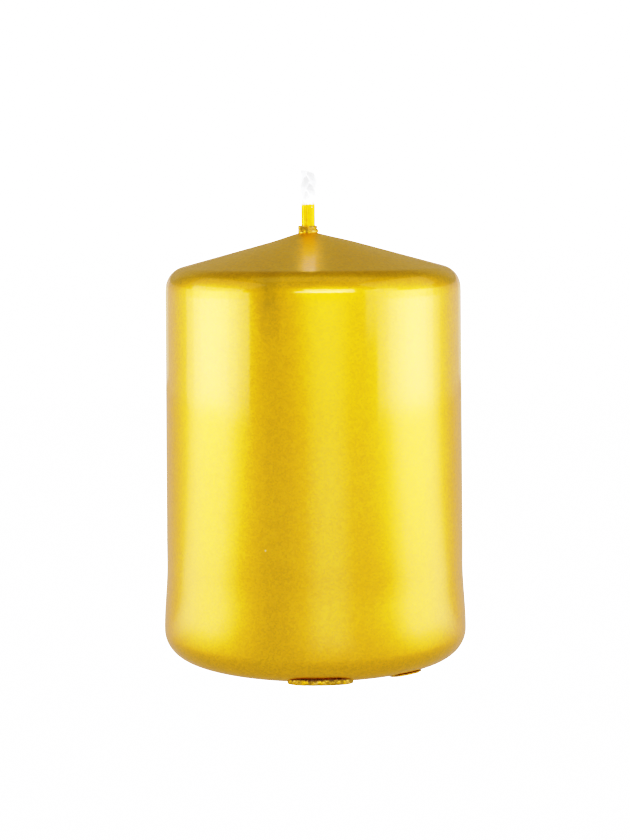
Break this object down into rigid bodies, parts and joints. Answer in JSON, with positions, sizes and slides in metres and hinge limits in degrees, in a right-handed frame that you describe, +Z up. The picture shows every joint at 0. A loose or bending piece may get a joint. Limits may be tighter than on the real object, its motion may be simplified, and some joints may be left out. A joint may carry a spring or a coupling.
{
  "type": "pillar candle",
  "caption": "Short round pillar candle with a shallow conical top, rounded foot, metallic gold lacquer skin and a plaited wick that bends at its raw end.",
  "frame": {"origin": "centre of the flat base, on the surface that the candle stands on", "axes": "+Z up along the candle's axis, +X to the right of the viewer's side, -Y towards the side with the larger lacquer lip"},
  "size_m": [0.0616, 0.0616, 0.0979],
  "materials": {
    "gold_lacquer": "satin",
    "gold_crust": "satin",
    "dipped_wax": "satin",
    "pressed_wax": "matte",
    "tinplate": "satin",
    "cotton": "matte"
  },
  "bodies": {
    "candle": {"lacquer_coat": "gold_lacquer", "dip_jacket": "dipped_wax", "pressed_core": "pressed_wax", "wick_sustainer": "tinplate", "wick_strand_1": "cotton", "wick_strand_2": "cotton", "wick_strand_3": "cotton", "wick_lacquer_sleeve": "gold_lacquer", "wick_collar": "gold_crust", "foot_lip_front": "gold_crust", "foot_lip_side": "gold_crust"},
    "wick_tip": {"wick_tip_1": "cotton", "wick_tip_2": "cotton", "wick_tip_3": "cotton"}
  },
  "joints": [
    {"name": "wick_bend", "type": "hinge", "parent": "candle", "child": "wick_tip", "pos_m": [-0.0009, 0, 0.0917], "axis": [1, 0, 0], "range_deg": [-40, 40]}
  ]
}
